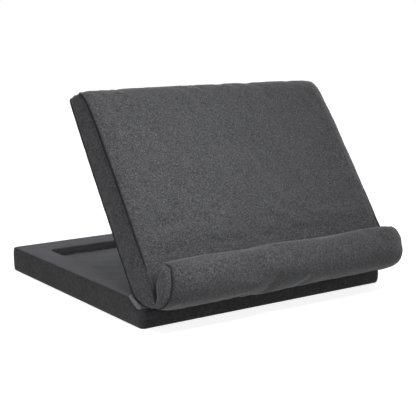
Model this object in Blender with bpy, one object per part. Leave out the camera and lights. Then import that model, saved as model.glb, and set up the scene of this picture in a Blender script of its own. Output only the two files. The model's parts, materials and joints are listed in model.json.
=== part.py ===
"""Cushioned stand for a tablet: a flat padded base with a tray, and a padded back with a front lip.

Metres, +Z up, the front faces -Y, and the origin is the middle of the base's underside.
The back turns on two friction hinges. It is drawn lying flat on its hinge axis, where +Y runs
from the lip to the top and +Z from the rear to the front, and the hinge empty tilts it.
"""

import math

import bmesh
import bpy

# Cloth, boards and the clearance between pieces that touch
COVER = 0.0012
GAP = 0.0003
BOARD = 0.003

# Base
BASE_WIDTH = 0.268
BASE_DEPTH = 0.249
BASE_HEIGHT = 0.024
BASE_CORNER_RADIUS = 0.005
BASE_BOTTOM_ROUND = 0.0025
RIM_SIDE = 0.025
RIM_REAR = 0.033
RIM_FRONT = 0.040
TRAY_DEPTH = 0.0075
TRAY_CORNER_RADIUS = 0.006
SEAT_REACH = 0.0195
SEAT_DROP = 0.0085

# Back, measured from its lower rear corner
BACK_TILT = math.radians(56)
BACK_SIDE_INSET = 0.002
BACK_LENGTH = 0.188
BACK_THICKNESS = 0.035
BACK_TOP_RADIUS = 0.010
TOP_ROUND = 0.008
TAPER_LENGTH = 0.070
TAPER = 0.0145
LOWER_ROUND = 0.022
FOOT_THICKNESS = 0.0318
SLOT_WIDTH = 0.0082
SLOT_DEPTH = 0.0242
SLOT_FLOOR = 0.0054
LIP_THICKNESS = 0.0238
LIP_RISE = 0.0062
REAR_FOAM = 0.008
BACK_BOARD_START = 0.024
BACK_BOARD_MARGIN = 0.012

# Hinges: the axis in the back, the gap left when the back is folded flat, and the metalwork
AXIS_RISE = 0.010
AXIS_DEPTH = 0.0198
FOLD_CLEARANCE = 0.0005
AXIS_FROM_FRONT = 0.0072
HINGE_FROM_SIDE = 0.040
LEAF = 0.002
EYE_RADIUS = 0.007
PIN_RADIUS = 0.0025
PIN_HEAD_RADIUS = 0.0045
PIN_HEAD = 0.002
WASHER = 0.0008
WASHER_RADIUS = 0.0065
NUT = 0.003
NUT_RADIUS = 0.0046
PIN_TAIL = 0.0008
ARM_FROM_COVER = 0.0025
ARM_HEEL = 0.010
FOOT_LENGTH = 0.026
FOOT_WIDTH = 0.019
FLANGE_LENGTH = 0.036
FLANGE_WIDTH = 0.018
FLANGE_START = 0.006
SWEEP_UP = math.radians(20)
SCREW_RADIUS = 0.0014
SCREW_HEAD_RADIUS = 0.0034
SCREW_HEAD = 0.0015
SCREW_LENGTH = 0.0046
SCREW_INSET = 0.007

# Room round moving and buried metalwork, and how far cutters run past what they cut
SPARE = 0.0006
OVERSHOOT = 0.01
FAR = 0.5

# Places worked out from the sizes above
BASE_FRONT = -BASE_DEPTH / 2
BACK_WIDTH = BASE_WIDTH - 2 * BACK_SIDE_INSET
AXIS_Y = BASE_FRONT + AXIS_FROM_FRONT
AXIS_HEIGHT = BASE_HEIGHT + FOLD_CLEARANCE + AXIS_DEPTH
SKIN = COVER + GAP
BOARD_TOP = SKIN + BOARD
TRAY_FLOOR = BASE_HEIGHT - TRAY_DEPTH
SLAB_TOP = TRAY_FLOOR - SKIN
SLOT_REAR = FOOT_THICKNESS
SLOT_FRONT = SLOT_REAR + SLOT_WIDTH
LIP_FRONT = SLOT_FRONT + LIP_THICKNESS
SLOT_BOTTOM = LIP_RISE - SLOT_DEPTH
BACK_BOTTOM = SLOT_BOTTOM - SLOT_FLOOR
BOARD_REAR = SKIN + REAR_FOAM + GAP
BOARD_FRONT = BOARD_REAR + BOARD
POCKET_RADIUS = EYE_RADIUS + 0.002
BORE = PIN_RADIUS + GAP
FLANGE_LOW = BACK_BOARD_START + FLANGE_START - AXIS_RISE
FLANGE_HIGH = FLANGE_LOW + FLANGE_LENGTH
ROUND_STEPS = 20

# The hinge stack along X, from the middle of the stand outwards
ARM_X = BACK_WIDTH / 2 - HINGE_FROM_SIDE
WASHER_X = ARM_X + LEAF + GAP
BACK_LEAF_X = WASHER_X + WASHER + GAP
NUT_X = BACK_LEAF_X + LEAF + GAP
PIN_END_X = NUT_X + NUT + PIN_TAIL
PIN_HEAD_X = ARM_X - GAP - PIN_HEAD


def clear_scene():
    for thing in list(bpy.data.objects):
        bpy.data.objects.remove(thing, do_unlink=True)


def make_material(name, colour, roughness, metallic=0.0):
    material = bpy.data.materials.new(name)
    material.use_nodes = True
    shader = material.node_tree.nodes["Principled BSDF"]
    shader.inputs["Base Color"].default_value = (*colour, 1.0)
    shader.inputs["Roughness"].default_value = roughness
    shader.inputs["Metallic"].default_value = metallic
    return material


# Outlines

def curve_through(points, steps=4):
    """A smooth open curve through the points, without its last point."""
    ends = [points[0]] + list(points) + [points[-1]]
    found = []
    for a, b, c, d in zip(ends, ends[1:], ends[2:], ends[3:]):
        for step in range(steps):
            u = step / steps
            found.append(tuple(
                0.5 * (2 * q + (r - p) * u + (2 * p - 5 * q + 4 * r - s) * u ** 2
                       + (3 * q - p - 3 * r + s) * u ** 3)
                for p, q, r, s in zip(a, b, c, d)
            ))
    return found


def inset(outline, distance):
    """The closed outline, which runs counter-clockwise, moved inwards."""
    moved = []
    for before, here, after in zip(outline[-1:] + outline, outline, outline[1:] + outline[:1]):
        one = math.atan2(here[1] - before[1], here[0] - before[0])
        two = math.atan2(after[1] - here[1], after[0] - here[0])
        half_turn = math.remainder(two - one, math.tau) / 2
        reach = distance / math.cos(half_turn)
        normal = one + half_turn + math.pi / 2
        moved.append((here[0] + reach * math.cos(normal), here[1] + reach * math.sin(normal)))
    return moved


def rounded_rectangle(x_low, x_high, y_low, y_high, radius, steps=6):
    """Counter-clockwise from the right front corner."""
    centres = (
        (x_high - radius, y_low + radius, -90),
        (x_high - radius, y_high - radius, 0),
        (x_low + radius, y_high - radius, 90),
        (x_low + radius, y_low + radius, 180),
    )
    points = []
    for x, y, start in centres:
        for step in range(steps + 1):
            angle = math.radians(start + 90 * step / steps)
            points.append((x + radius * math.cos(angle), y + radius * math.sin(angle)))
    return points


def circle(centre, radius, steps=ROUND_STEPS):
    return [
        (centre[0] + radius * math.cos(math.tau * i / steps),
         centre[1] + radius * math.sin(math.tau * i / steps))
        for i in range(steps)
    ]


def base_outline(inward):
    half = BASE_WIDTH / 2 - inward
    reach = BASE_DEPTH / 2 - inward
    return rounded_rectangle(-half, half, -reach, reach, max(BASE_CORNER_RADIUS - inward, COVER))


def tray_outline(outward):
    half = BASE_WIDTH / 2 - RIM_SIDE + outward
    return rounded_rectangle(
        -half, half,
        BASE_FRONT + RIM_FRONT - outward, BASE_DEPTH / 2 - RIM_REAR + outward,
        TRAY_CORNER_RADIUS + outward,
    )


def base_top_line(lower):
    """Points along Y of the base's top, with the sunk seat for the back at its front."""
    points = [(BASE_FRONT - OVERSHOOT, BASE_HEIGHT - SEAT_DROP - lower)]
    for step in range(11):
        share = step / 10
        points.append((
            BASE_FRONT + SEAT_REACH * share,
            BASE_HEIGHT - SEAT_DROP * math.cos(share * math.pi / 2) - lower,
        ))
    points.append((BASE_DEPTH / 2 + OVERSHOOT, BASE_HEIGHT - lower))
    return points


def back_outline():
    """The closed section of the back as (up along it, forward from its rear face).

    It starts at the lower rear corner and runs up the rear face, over the top, down the face
    into the slot, over the lip and back underneath.
    """
    top = BACK_LENGTH
    thick = BACK_THICKNESS
    end = TOP_ROUND
    taper = TAPER_LENGTH
    thin = TAPER
    slot = SLOT_WIDTH
    lip = LIP_THICKNESS
    under = LOWER_ROUND
    start = (0.18 * under, 0.02 * under)
    rear_face = [
        (1.4 * under, 0.0),
        (top / 2, 0.0),
        (top - 3.75 * end, 0.0),
        (top - end, 0.125 * end),
        (top - 0.19 * end, 0.425 * end),
        (top, end),
        (top - 0.16 * end, 1.875 * end),
    ]
    face = [
        (top - 0.064 * taper, thick - thin),
        (top - 0.136 * taper, thick - 0.72 * thin),
        (top - 0.243 * taper, thick - 0.47 * thin),
        (top - 0.371 * taper, thick - 0.32 * thin),
        (top - 0.6 * taper, thick - 0.18 * thin),
        (top - taper, thick - 0.07 * thin),
        (top / 2 - 0.14 * taper, thick),
        (0.57 * taper, thick),
        (0.29 * taper, (thick + SLOT_REAR) / 2),
        (0.1 * taper, SLOT_REAR + 0.05 * slot),
    ]
    slot_wall = [
        (-0.5 * slot, SLOT_REAR),
        (SLOT_BOTTOM + 0.55 * slot, SLOT_REAR + 0.02 * slot),
        (SLOT_BOTTOM + 0.15 * slot, SLOT_REAR + 0.2 * slot),
        (SLOT_BOTTOM, (SLOT_REAR + SLOT_FRONT) / 2),
        (SLOT_BOTTOM + 0.15 * slot, SLOT_FRONT - 0.2 * slot),
        (SLOT_BOTTOM + 0.67 * slot, SLOT_FRONT - 0.02 * slot),
    ]
    lip_roll = [
        (LIP_RISE - 0.46 * lip, SLOT_FRONT),
        (LIP_RISE - 0.21 * lip, SLOT_FRONT + 0.084 * lip),
        (LIP_RISE - 0.06 * lip, SLOT_FRONT + 0.23 * lip),
        (LIP_RISE, (SLOT_FRONT + LIP_FRONT) / 2),
        (LIP_RISE - 0.05 * lip, LIP_FRONT - 0.244 * lip),
        (LIP_RISE - 0.168 * lip, LIP_FRONT - 0.084 * lip),
        (LIP_RISE - 0.357 * lip, LIP_FRONT),
        (BACK_BOTTOM + 0.567 * lip, LIP_FRONT - 0.017 * lip),
        (BACK_BOTTOM + 0.336 * lip, LIP_FRONT - 0.126 * lip),
        (BACK_BOTTOM + 0.151 * lip, LIP_FRONT - 0.336 * lip),
        (BACK_BOTTOM + 0.034 * lip, LIP_FRONT - 0.651 * lip),
    ]
    underside = [
        (BACK_BOTTOM, SLOT_FRONT),
        (BACK_BOTTOM + 0.018 * under, SLOT_REAR),
        (BACK_BOTTOM + 0.118 * under, SLOT_REAR - 0.409 * under),
        (BACK_BOTTOM + 0.291 * under, SLOT_REAR - 0.764 * under),
        (BACK_BOTTOM + 0.495 * under, 0.409 * under),
        (BACK_BOTTOM + 0.745 * under, 0.191 * under),
        (BACK_BOTTOM + under, 0.068 * under),
    ]
    points = [start] + rear_face + face + slot_wall + lip_roll + underside + [start]
    return from_axis(curve_through(points, 3))


def from_axis(points):
    """Back coordinates counted from the hinge axis."""
    return [(up - AXIS_RISE, forward - AXIS_DEPTH) for up, forward in points]


def back_front_view(inward):
    """The back seen from its front, as (across, up from the hinge axis), with round top corners."""
    half = BACK_WIDTH / 2 - inward
    top = BACK_LENGTH - AXIS_RISE - inward
    radius = BACK_TOP_RADIUS - inward
    points = [(-half, -FAR), (half, -FAR)]
    for x, start in ((half - radius, 0), (radius - half, 90)):
        for step in range(9):
            angle = math.radians(start + 90 * step / 8)
            points.append((x + radius * math.cos(angle), top - radius + radius * math.sin(angle)))
    return points


# Solids

PLACE = {
    "X": lambda point, along: (along, point[0], point[1]),
    "Z": lambda point, along: (point[0], point[1], along),
}


def make_object(name, mesh_maker, material, parent=None):
    mesh = bpy.data.meshes.new(name)
    bmesh.ops.recalc_face_normals(mesh_maker, faces=mesh_maker.faces)
    mesh_maker.to_mesh(mesh)
    mesh_maker.free()
    if material:
        mesh.materials.append(material)
    made = bpy.data.objects.new(name, mesh)
    bpy.context.scene.collection.objects.link(made)
    made.parent = parent
    return made


def stack(name, loops, material, parent=None, ends=True):
    """A solid from loops with equal numbers of points: capped at its ends, or joined into a ring."""
    maker = bmesh.new()
    rows = [[maker.verts.new(point) for point in loop] for loop in loops]
    count = len(rows[0])
    pairs = list(zip(rows, rows[1:]))
    if ends:
        maker.faces.new(rows[0])
        maker.faces.new(rows[-1])
    else:
        pairs.append((rows[-1], rows[0]))
    for low, high in pairs:
        for i in range(count):
            j = (i + 1) % count
            maker.faces.new((low[i], low[j], high[j], high[i]))
    return make_object(name, maker, material, parent)


def prism(name, outline, axis, low, high, material=None, parent=None):
    place = PLACE[axis]
    loops = [[place(point, along) for point in outline] for along in (low, high)]
    return stack(name, loops, material, parent)


def turned(name, profile, centre, material, parent=None):
    """A round solid on an axis along X, from (radius, x) pairs."""
    loops = [
        [(x, y, z) for y, z in circle(centre, radius)]
        for radius, x in profile
    ]
    return stack(name, loops, material, parent)


def cutter(name, outline, axis, low, high, parent=None):
    tool = prism(name, outline, axis, low, high, parent=parent)
    tool.hide_render = True
    tool.display_type = "WIRE"
    return tool


def boolean(target, tool, operation="DIFFERENCE"):
    modifier = target.modifiers.new(tool.name, "BOOLEAN")
    modifier.operation = operation
    modifier.object = tool
    modifier.solver = "EXACT"


def smooth(target):
    target.data.shade_smooth()
    target.data.set_sharp_from_angle(angle=math.radians(35))


def box_outline(low_a, high_a, low_b, high_b):
    return [(low_a, low_b), (high_a, low_b), (high_a, high_b), (low_a, high_b)]


def sided(side, low, high):
    """A span of X on the right (1) or, mirrored, on the left (-1)."""
    return (low, high) if side > 0 else (-high, -low)


# Base

def above_top(name, lower):
    line = base_top_line(lower)
    outline = line + [(line[-1][0], FAR), (line[0][0], FAR)]
    return cutter(name, outline, "X", -FAR, FAR)


def arm_outline(spare=0.0):
    """The side of the base leaf: an eye on the hinge axis, and an arm down to its foot."""
    left = BASE_FRONT + SKIN + ARM_FROM_COVER - spare
    radius = EYE_RADIUS + spare
    angles = [math.pi * i / 10 for i in range(11)]
    eye = [
        (AXIS_Y + radius * math.cos(angle), AXIS_HEIGHT + radius * math.sin(angle))
        for angle in angles
    ]
    foot_end = left + FOOT_LENGTH + 2 * spare
    neck = BASE_HEIGHT - ARM_HEEL / 2
    return eye + [
        (left, neck),
        (left, BOARD_TOP + GAP - spare),
        (foot_end, BOARD_TOP + GAP - spare),
        (foot_end, BOARD_TOP + GAP + LEAF + spare),
        ((left + foot_end) / 2, BOARD_TOP + ARM_HEEL + spare),
        (AXIS_Y + radius, neck),
    ]


def foot_span(spare=0.0):
    start = BASE_FRONT + SKIN + ARM_FROM_COVER
    return start - spare, start + FOOT_LENGTH + spare


def base_screw_places(side):
    low, high = foot_span()
    x = side * (ARM_X - FOOT_WIDTH / 2)
    return [(x, low + SCREW_INSET), (x, high - SCREW_INSET)]


def screw_hole(name, place, parent=None):
    return cutter(name, circle(place, SCREW_RADIUS + GAP, 12), "Z", -FAR, FAR, parent)


def make_screw(name, place, seat, steel, parent=None):
    """A screw that points down -Z, its head resting over the seat."""
    profile = (
        (SCREW_HEAD_RADIUS * 0.8, seat + GAP + SCREW_HEAD),
        (SCREW_HEAD_RADIUS, seat + GAP + SCREW_HEAD * 0.6),
        (SCREW_HEAD_RADIUS, seat + GAP),
        (SCREW_RADIUS, seat + GAP),
        (SCREW_RADIUS, seat + GAP - SCREW_LENGTH * 0.8),
        (SCREW_RADIUS * 0.4, seat + GAP - SCREW_LENGTH),
    )
    loops = [
        [(x, y, height) for x, y in circle(place, radius, 12)]
        for radius, height in profile
    ]
    smooth(stack(name, loops, steel, parent))


def make_base_covers(cloth, lining, cuts):
    half = BASE_WIDTH / 2
    bottom = prism(
        "base_bottom_panel", base_outline(BASE_BOTTOM_ROUND + GAP), "Z", 0.0, COVER, cloth)
    smooth(bottom)

    outer = []
    inner = []
    for step in range(6):
        angle = math.radians(18 * step)
        inward = BASE_BOTTOM_ROUND * (1 - math.sin(angle))
        height = BASE_BOTTOM_ROUND * (1 - math.cos(angle))
        thin = BASE_BOTTOM_ROUND - COVER
        outer.append([(x, y, height) for x, y in base_outline(inward)])
        inner.append([
            (x, y, BASE_BOTTOM_ROUND - thin * math.cos(angle))
            for x, y in base_outline(BASE_BOTTOM_ROUND - thin * math.sin(angle))
        ])
    outer.append([(x, y, FAR) for x, y in base_outline(0.0)])
    inner.append([(x, y, FAR) for x, y in base_outline(COVER)])
    band = stack("base_side_band", outer + inner[::-1], cloth, ends=False)
    boolean(band, cuts["under_top_panel"])
    smooth(band)

    line = base_top_line(0.0)
    section = line + base_top_line(COVER)[::-1]
    top = prism("base_top_panel", section, "X", -half - OVERSHOOT, half + OVERSHOOT, cloth)
    boolean(top, cuts["base_outer"], "INTERSECT")
    boolean(top, cuts["tray_well"])
    for side in (-1, 1):
        boolean(top, cuts["arm_slot", side])
    smooth(top)

    wall_low = TRAY_FLOOR + GAP
    wall_high = BASE_HEIGHT - SKIN
    loops = [
        [(x, y, wall_low) for x, y in tray_outline(COVER)],
        [(x, y, wall_high) for x, y in tray_outline(COVER)],
        [(x, y, wall_high) for x, y in tray_outline(0.0)],
        [(x, y, wall_low) for x, y in tray_outline(0.0)],
    ]
    smooth(stack("tray_wall_band", loops, lining, ends=False))
    floor = prism(
        "tray_floor_panel", tray_outline(COVER), "Z", TRAY_FLOOR - COVER, TRAY_FLOOR, lining)
    smooth(floor)


def make_base_core(foam, board_stuff, cuts):
    slab = prism("base_foam_slab", base_outline(SKIN), "Z", BOARD_TOP + GAP, SLAB_TOP, foam)
    frame = prism("base_foam_frame", base_outline(SKIN), "Z", SLAB_TOP + GAP, BASE_HEIGHT + OVERSHOOT, foam)
    boolean(frame, cuts["tray_around"])
    for block in (slab, frame):
        boolean(block, cuts["under_top_panel"])
        for side in (-1, 1):
            boolean(block, cuts["arm_slot", side])
    for side in (-1, 1):
        boolean(slab, cuts["foot_pocket", side])
    board = prism(
        "base_board", base_outline(BASE_BOTTOM_ROUND + GAP), "Z", SKIN, BOARD_TOP, board_stuff)
    for hole in cuts["base_screws"]:
        boolean(board, hole)
    for block in (slab, frame, board):
        smooth(block)


def make_base_leaf(side, steel, cuts):
    name = "right" if side > 0 else "left"
    leaf = prism(
        f"base_hinge_leaf_{name}", arm_outline(), "X", *sided(side, ARM_X, ARM_X + LEAF), steel)
    low, high = foot_span()
    foot = cutter(
        f"foot_{name}", box_outline(low, high, BOARD_TOP + GAP, BOARD_TOP + GAP + LEAF),
        "X", *sided(side, ARM_X - FOOT_WIDTH + LEAF, ARM_X + LEAF / 2))
    boolean(leaf, foot, "UNION")
    bore = cutter(
        f"base_bore_{name}", circle((AXIS_Y, AXIS_HEIGHT), BORE), "X",
        *sided(side, ARM_X - OVERSHOOT, ARM_X + OVERSHOOT))
    boolean(leaf, bore)
    for hole in cuts["base_screws"]:
        boolean(leaf, hole)
    smooth(leaf)
    seat = BOARD_TOP + GAP + LEAF
    for number, place in enumerate(base_screw_places(side), 1):
        make_screw(f"base_screw_{name}_{number}", place, seat, steel)


def make_base_cutters():
    cuts = {
        "under_top_panel": above_top("under_top_panel", SKIN),
        "base_outer": cutter("base_outer", base_outline(0.0), "Z", -FAR, FAR),
        "tray_well": cutter("tray_well", tray_outline(0.0), "Z", -FAR, FAR),
        "tray_around": cutter("tray_around", tray_outline(SKIN), "Z", -FAR, FAR),
        "base_screws": [],
    }
    for side in (-1, 1):
        name = "right" if side > 0 else "left"
        low, high = foot_span(SPARE)
        cuts["arm_slot", side] = cutter(
            f"arm_slot_{name}", arm_outline(SPARE), "X",
            *sided(side, ARM_X - SPARE, ARM_X + LEAF + SPARE))
        cuts["foot_pocket", side] = cutter(
            f"foot_pocket_{name}",
            box_outline(low, high, 0.0, BOARD_TOP + LEAF + SCREW_HEAD + 4 * GAP), "X",
            *sided(side, ARM_X - FOOT_WIDTH + LEAF - SPARE, ARM_X + LEAF + SPARE))
        for number, place in enumerate(base_screw_places(side), 1):
            cuts["base_screws"].append(screw_hole(f"base_screw_hole_{name}_{number}", place))
    return cuts


# Hinge pins, which stay with the base

def hexagon(radius):
    return circle((AXIS_Y, AXIS_HEIGHT), radius, 6)


def make_pin_set(side, steel, washer_stuff):
    name = "right" if side > 0 else "left"
    centre = (AXIS_Y, AXIS_HEIGHT)
    head_end = PIN_HEAD_X + PIN_HEAD
    profile = (
        (PIN_HEAD_RADIUS * 0.75, PIN_HEAD_X),
        (PIN_HEAD_RADIUS, PIN_HEAD_X + PIN_HEAD * 0.4),
        (PIN_HEAD_RADIUS, head_end),
        (PIN_RADIUS, head_end),
        (PIN_RADIUS, PIN_END_X - PIN_TAIL * 0.6),
        (PIN_RADIUS * 0.8, PIN_END_X),
    )
    placed = [(radius, side * x) for radius, x in profile]
    smooth(turned(f"hinge_pin_{name}", placed, centre, steel))
    bore = cutter(
        f"pin_bore_{name}", circle(centre, BORE), "X", *sided(side, ARM_X, PIN_END_X + OVERSHOOT))
    washer = prism(
        f"friction_washer_{name}", circle(centre, WASHER_RADIUS, 28), "X",
        *sided(side, WASHER_X, WASHER_X + WASHER), washer_stuff)
    nut = prism(
        f"lock_nut_{name}", hexagon(NUT_RADIUS), "X", *sided(side, NUT_X, NUT_X + NUT), steel)
    for ring in (washer, nut):
        boolean(ring, bore)
        smooth(ring)


# Back

def sweep_outline():
    """The room that the base arm takes in the back, over all angles, seen along the hinge axis."""
    reach = FAR
    r = POCKET_RADIUS
    first = -math.pi / 2
    last = first - (BACK_TILT + SWEEP_UP)
    points = [(r, 0.0)]
    points.append((r, -reach))
    for step in range(1, 12):
        angle = first + (last - first) * step / 12
        points.append((reach * math.cos(angle), reach * math.sin(angle)))
    side = last - math.pi / 2
    points.append((
        reach * math.cos(last) + r * math.cos(side),
        reach * math.sin(last) + r * math.sin(side),
    ))
    end = math.remainder(side, math.tau)
    for step in range(8):
        angle = end * (1 - step / 8)
        points.append((r * math.cos(angle), r * math.sin(angle)))
    return points[::-1]


def lip_zone(extra):
    """What belongs to the lip's foam: all in front of the slot, and the web under it."""
    web = SLOT_REAR - COVER - extra
    slot = (SLOT_REAR + SLOT_FRONT) / 2
    floor = SLOT_BOTTOM + extra - GAP
    return from_axis([
        (-FAR, web), (-FAR, FAR), (FAR, FAR), (FAR, slot), (floor, slot), (floor, web)])


def back_screw_places(side):
    x = side * (BACK_LEAF_X + LEAF + FLANGE_WIDTH / 2)
    return [(x, FLANGE_LOW + SCREW_INSET), (x, FLANGE_HIGH - SCREW_INSET)]


def make_back_cutters(hinge):
    outer = BACK_WIDTH / 2 + OVERSHOOT
    lay = {"parent": hinge}
    board_low = BACK_BOARD_START - AXIS_RISE
    cuts = {
        "front_view": cutter("front_view", back_front_view(SKIN), "Z", -FAR, FAR, **lay),
        "back_section": cutter("back_section", back_outline(), "X", -outer, outer, **lay),
        "lip_room": cutter("lip_room", lip_zone(GAP), "X", -outer, outer, **lay),
        "lip_only": cutter("lip_only", lip_zone(0.0), "X", -outer, outer, **lay),
        "board_room": cutter(
            "board_room",
            box_outline(
                board_low - GAP, FAR, -FAR, BOARD_FRONT - AXIS_DEPTH + GAP),
            "X", -outer, outer, **lay),
        "rear_layer": cutter(
            "rear_layer", box_outline(-FAR, FAR, -FAR, SKIN + REAR_FOAM - AXIS_DEPTH), "X",
            -outer, outer, **lay),
        "rear_room": cutter(
            "rear_room", box_outline(-FAR, FAR, -FAR, BOARD_REAR - AXIS_DEPTH), "X",
            -outer, outer, **lay),
        "back_screws": [],
    }
    for side in (-1, 1):
        name = "right" if side > 0 else "left"
        cuts["arm_sweep", side] = cutter(
            f"arm_sweep_{name}", sweep_outline(), "X",
            *sided(side, ARM_X - SPARE, ARM_X + LEAF + SPARE), **lay)
        cuts["eye_pocket", side] = cutter(
            f"eye_pocket_{name}", circle((0.0, 0.0), POCKET_RADIUS), "X",
            *sided(side, PIN_HEAD_X - SPARE, PIN_END_X + SPARE), **lay)
        flange_top = BOARD_FRONT - AXIS_DEPTH + LEAF + SCREW_HEAD + 4 * GAP
        flange_end = FLANGE_HIGH + SPARE
        cuts["flange_pocket", side] = cutter(
            f"flange_pocket_{name}",
            box_outline(board_low, flange_end, BOARD_FRONT - AXIS_DEPTH - COVER, flange_top), "X",
            *sided(side, BACK_LEAF_X - SPARE, BACK_LEAF_X + LEAF + FLANGE_WIDTH + SPARE), **lay)
        cuts["leaf_pocket", side] = cutter(
            f"leaf_pocket_{name}",
            box_outline(
                0.0, flange_end, BOARD_FRONT - AXIS_DEPTH - COVER, EYE_RADIUS + SPARE), "X",
            *sided(side, BACK_LEAF_X - SPARE, BACK_LEAF_X + LEAF + SPARE), **lay)
        for number, place in enumerate(back_screw_places(side), 1):
            cuts["back_screws"].append(
                screw_hole(f"back_screw_hole_{name}_{number}", place, hinge))
    return cuts


def make_back_covers(cloth, side_cloth, hinge, cuts):
    """Three pieces of cloth: the front, which wraps the lip; the rear; and the strip round the sides."""
    half = BACK_WIDTH / 2 + OVERSHOOT / 2
    outline = back_outline()
    inner = inset(outline, COVER)
    seam = 3
    top = next(i for i, point in enumerate(outline) if point[0] >= max(p[0] for p in outline))
    rear = prism(
        "back_rear_panel", outline[seam:top] + inner[seam:top][::-1], "X", -half, half, cloth, hinge)
    front = prism(
        "back_front_panel", outline[top:-1] + inner[top:-1][::-1], "X", -half, half, cloth, hinge)
    for panel in (rear, front):
        boolean(panel, cuts["front_view"], "INTERSECT")
        for side in (-1, 1):
            boolean(panel, cuts["arm_sweep", side])
    loops = [
        [(x, y, -FAR) for x, y in back_front_view(0.0)],
        [(x, y, FAR) for x, y in back_front_view(0.0)],
        [(x, y, FAR) for x, y in back_front_view(COVER)],
        [(x, y, -FAR) for x, y in back_front_view(COVER)],
    ]
    strip = stack("back_side_strip", loops, side_cloth, hinge, ends=False)
    boolean(strip, cuts["back_section"], "INTERSECT")
    for piece in (rear, front, strip):
        smooth(piece)


def make_back_core(foam, board_stuff, hinge, cuts):
    half = BACK_WIDTH / 2 + OVERSHOOT / 2
    core = inset(back_outline(), SKIN)
    rear = prism("back_foam_rear", core, "X", -half, half, foam, hinge)
    front = prism("back_foam_front", core, "X", -half, half, foam, hinge)
    lip = prism("lip_foam_roll", core, "X", -half, half, foam, hinge)
    boolean(rear, cuts["rear_layer"], "INTERSECT")
    boolean(front, cuts["rear_room"])
    boolean(front, cuts["lip_room"])
    boolean(front, cuts["board_room"])
    boolean(lip, cuts["lip_only"], "INTERSECT")
    for block in (rear, front, lip):
        boolean(block, cuts["front_view"], "INTERSECT")
    for side in (-1, 1):
        boolean(rear, cuts["arm_sweep", side])
        boolean(front, cuts["arm_sweep", side])
        for pocket in ("eye_pocket", "flange_pocket", "leaf_pocket"):
            boolean(front, cuts[pocket, side])
    across = BACK_WIDTH / 2 - BACK_BOARD_MARGIN
    outline = rounded_rectangle(
        -across, across, BACK_BOARD_START - AXIS_RISE,
        BACK_LENGTH - AXIS_RISE - BACK_BOARD_MARGIN, BACK_TOP_RADIUS)
    board = prism(
        "back_board", outline, "Z", BOARD_REAR - AXIS_DEPTH, BOARD_FRONT - AXIS_DEPTH,
        board_stuff, hinge)
    for hole in cuts["back_screws"]:
        boolean(board, hole)
    for block in (rear, front, lip, board):
        smooth(block)


def back_leaf_outline():
    low = BOARD_FRONT - AXIS_DEPTH + GAP
    lower = math.asin(max(low / EYE_RADIUS, -1.0))
    turn = math.tau - (math.pi / 2 - lower)
    eye = [
        (EYE_RADIUS * math.cos(math.pi / 2 + turn * i / 12),
         EYE_RADIUS * math.sin(math.pi / 2 + turn * i / 12))
        for i in range(13)
    ]
    return [(FLANGE_HIGH, low), (FLANGE_HIGH, EYE_RADIUS)] + eye


def make_back_leaf(side, steel, hinge, cuts):
    name = "right" if side > 0 else "left"
    leaf = prism(
        f"back_hinge_leaf_{name}", back_leaf_outline(), "X",
        *sided(side, BACK_LEAF_X, BACK_LEAF_X + LEAF), steel, hinge)
    low = BOARD_FRONT - AXIS_DEPTH + GAP
    flange = cutter(
        f"flange_{name}", box_outline(FLANGE_LOW, FLANGE_HIGH, low, low + LEAF), "X",
        *sided(side, BACK_LEAF_X + LEAF / 2, BACK_LEAF_X + LEAF + FLANGE_WIDTH), hinge)
    boolean(leaf, flange, "UNION")
    bore = cutter(
        f"back_bore_{name}", circle((0.0, 0.0), BORE), "X",
        *sided(side, BACK_LEAF_X - OVERSHOOT, BACK_LEAF_X + OVERSHOOT), hinge)
    boolean(leaf, bore)
    for hole in cuts["back_screws"]:
        boolean(leaf, hole)
    smooth(leaf)
    for number, place in enumerate(back_screw_places(side), 1):
        make_screw(f"back_screw_{name}_{number}", place, low + LEAF, steel, hinge)


def make_hinge_empty():
    hinge = bpy.data.objects.new("back_hinge", None)
    hinge.location = (0.0, AXIS_Y, AXIS_HEIGHT)
    hinge.rotation_euler = (BACK_TILT, 0.0, 0.0)
    bpy.context.scene.collection.objects.link(hinge)
    return hinge


def main():
    clear_scene()
    cloth = make_material("charcoal_fleece", (0.080, 0.080, 0.086), 0.95)
    side_cloth = make_material("charcoal_side_cloth", (0.055, 0.055, 0.060), 0.9)
    lining = make_material("tray_lining", (0.092, 0.094, 0.102), 0.7)
    foam = make_material("grey_foam", (0.25, 0.25, 0.26), 1.0)
    board_stuff = make_material("stiff_board", (0.30, 0.24, 0.17), 0.8)
    steel = make_material("zinc_steel", (0.55, 0.56, 0.58), 0.35, 1.0)
    washer_stuff = make_material("friction_nylon", (0.75, 0.74, 0.70), 0.5)

    base_cuts = make_base_cutters()
    make_base_covers(cloth, lining, base_cuts)
    make_base_core(foam, board_stuff, base_cuts)
    hinge = make_hinge_empty()
    back_cuts = make_back_cutters(hinge)
    make_back_covers(cloth, side_cloth, hinge, back_cuts)
    make_back_core(foam, board_stuff, hinge, back_cuts)
    for side in (-1, 1):
        make_base_leaf(side, steel, base_cuts)
        make_pin_set(side, steel, washer_stuff)
        make_back_leaf(side, steel, hinge, back_cuts)


main()
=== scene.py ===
"""Looks for the cushioned tablet stand: cloth covers, light, floor and camera around the fixed frame."""

import json
import math

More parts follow.
